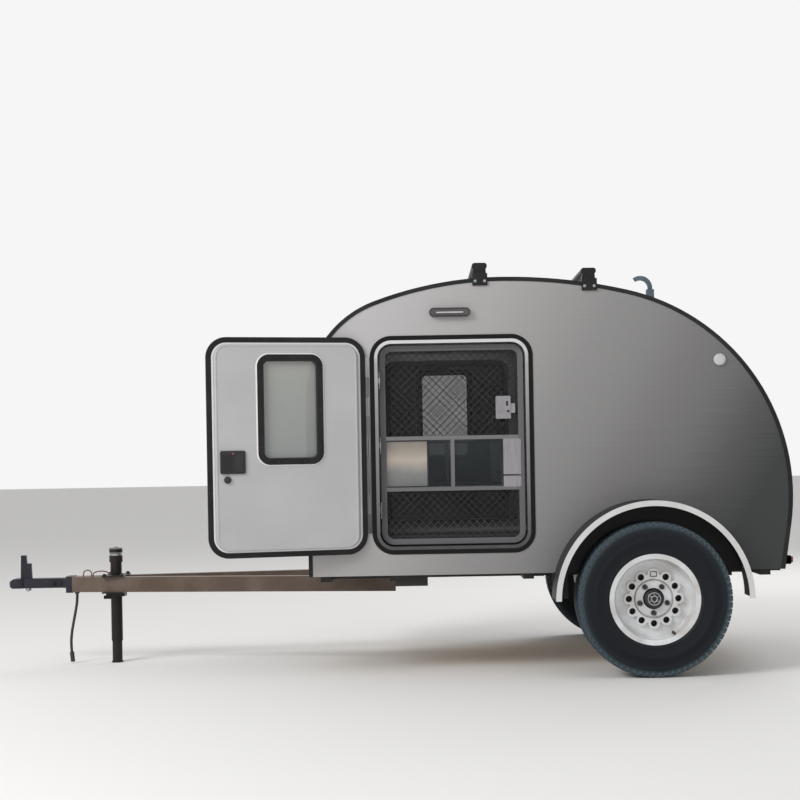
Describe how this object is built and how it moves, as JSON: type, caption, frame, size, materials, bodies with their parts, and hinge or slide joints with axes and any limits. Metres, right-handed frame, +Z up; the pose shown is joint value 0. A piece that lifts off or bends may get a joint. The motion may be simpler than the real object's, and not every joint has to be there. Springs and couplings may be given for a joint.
{
  "type": "teardrop trailer",
  "caption": "Small camping trailer with a teardrop-shaped body, side doors, rear hatch galley, fenders, roof bars and an A-frame tongue on a jack.",
  "frame": {"origin": "on the ground under the middle of the whole trailer", "axes": "+X from the hitch to the tail, +Y from the near (door open) side to the far side, +Z up"},
  "size_m": [3.8236, 2.0219, 1.9084],
  "materials": {
    "wall_paint": "satin grey",
    "edge_black": "satin black",
    "floor_ply": "clear coated plywood",
    "mattress_cloth": "woven cover",
    "door_skin": "light grey laminate",
    "jamb": "anodised",
    "latch_black": "moulded",
    "window_glass": "grey-green tint",
    "screen_frame": "anodised",
    "screen_mesh": "woven mesh",
    "chassis_black": "powder coat",
    "coupler_black": "powder coat",
    "fender_black": "moulded",
    "lip_alloy": "bright",
    "rack_black": "black anodised",
    "lamp_dark": "smoked lens",
    "lamp_red": "red lens",
    "cap_white": "moulded",
    "tyre_rubber": "black rubber",
    "rim_silver": "silver white paint",
    "hub_black": "black",
    "harness_black": "cable jacket"
  },
  "bodies": {
    "trailer": {"wall_near": "wall_paint", "wall_far": "wall_paint", "roof": "wall_paint", "hatch_hinge": "edge_black", "tail_sill": "wall_paint", "edge_rails": "edge_black", "floor": "floor_ply", "bulkhead": "floor_ply", "galley_cabinet": "floor_ply", "mattress": "mattress_cloth", "door_jamb_near": "jamb", "door_jamb_far": "jamb", "screen_frame_far": "screen_frame", "screen_mesh_far": "screen_mesh", "chassis": "chassis_black", "tongue_rail_near": "chassis_black", "tongue_rail_far": "chassis_black", "coupler": "coupler_black", "jack_tube": "coupler_black", "axle": "chassis_black", "fenders": "fender_black", "fender_lips": "lip_alloy", "roof_rack": "rack_black", "roof_arm": "rack_black", "porch_lamps": "lamp_dark", "inlet_cap": "cap_white", "bumper": "chassis_black", "tail_lamps": "lamp_red", "harness": "harness_black", "harness_plug": "harness_black", "harness_grommet": "harness_black"},
    "door_near": {"door_panel_near": "door_skin", "door_trim_near": "edge_black", "door_glass_near": "window_glass", "door_latch_near": "latch_black"},
    "door_far": {"door_panel_far": "door_skin", "door_trim_far": "edge_black", "door_glass_far": "window_glass", "door_latch_far": "latch_black"},
    "screen_near": {"screen_frame_near": "screen_frame", "screen_mesh_near": "screen_mesh"},
    "hatch": {"hatch": "wall_paint"},
    "wheel_near": {"tyre_near": "tyre_rubber", "rim_near": "rim_silver", "hub_near": "hub_black"},
    "wheel_far": {"tyre_far": "tyre_rubber", "rim_far": "rim_silver", "hub_far": "hub_black"},
    "jack_leg": {"jack_leg": "coupler_black"}
  },
  "joints": [
    {"name": "near_door", "type": "hinge", "parent": "trailer", "child": "door_near", "pos_m": [-0.064, -0.768, 1.068], "axis": [0, 0, -1], "range_deg": [-163, 7]},
    {"name": "far_door", "type": "hinge", "parent": "trailer", "child": "door_far", "pos_m": [-0.064, 0.768, 1.068], "axis": [0, 0, 1], "range_deg": [0, 165]},
    {"name": "near_screen", "type": "hinge", "parent": "trailer", "child": "screen_near", "pos_m": [-0.013, -0.752, 1.068], "axis": [0, 0, -1], "range_deg": [0, 95]},
    {"name": "hatch_lift", "type": "hinge", "parent": "trailer", "child": "hatch", "pos_m": [1.25505, 0, 1.72613], "axis": [0, -1, 0], "range_deg": [0, 75]},
    {"name": "near_wheel", "type": "hinge", "parent": "trailer", "child": "wheel_near", "pos_m": [1.216, -0.892, 0.352], "axis": [0, 1, 0], "continuous": true},
    {"name": "far_wheel", "type": "hinge", "parent": "trailer", "child": "wheel_far", "pos_m": [1.216, 0.892, 0.352], "axis": [0, 1, 0], "continuous": true},
    {"name": "jack_slide", "type": "slide", "parent": "trailer", "child": "jack_leg", "axis": [0, 0, -1], "range_m": [-0.1, 0.15]}
  ]
}
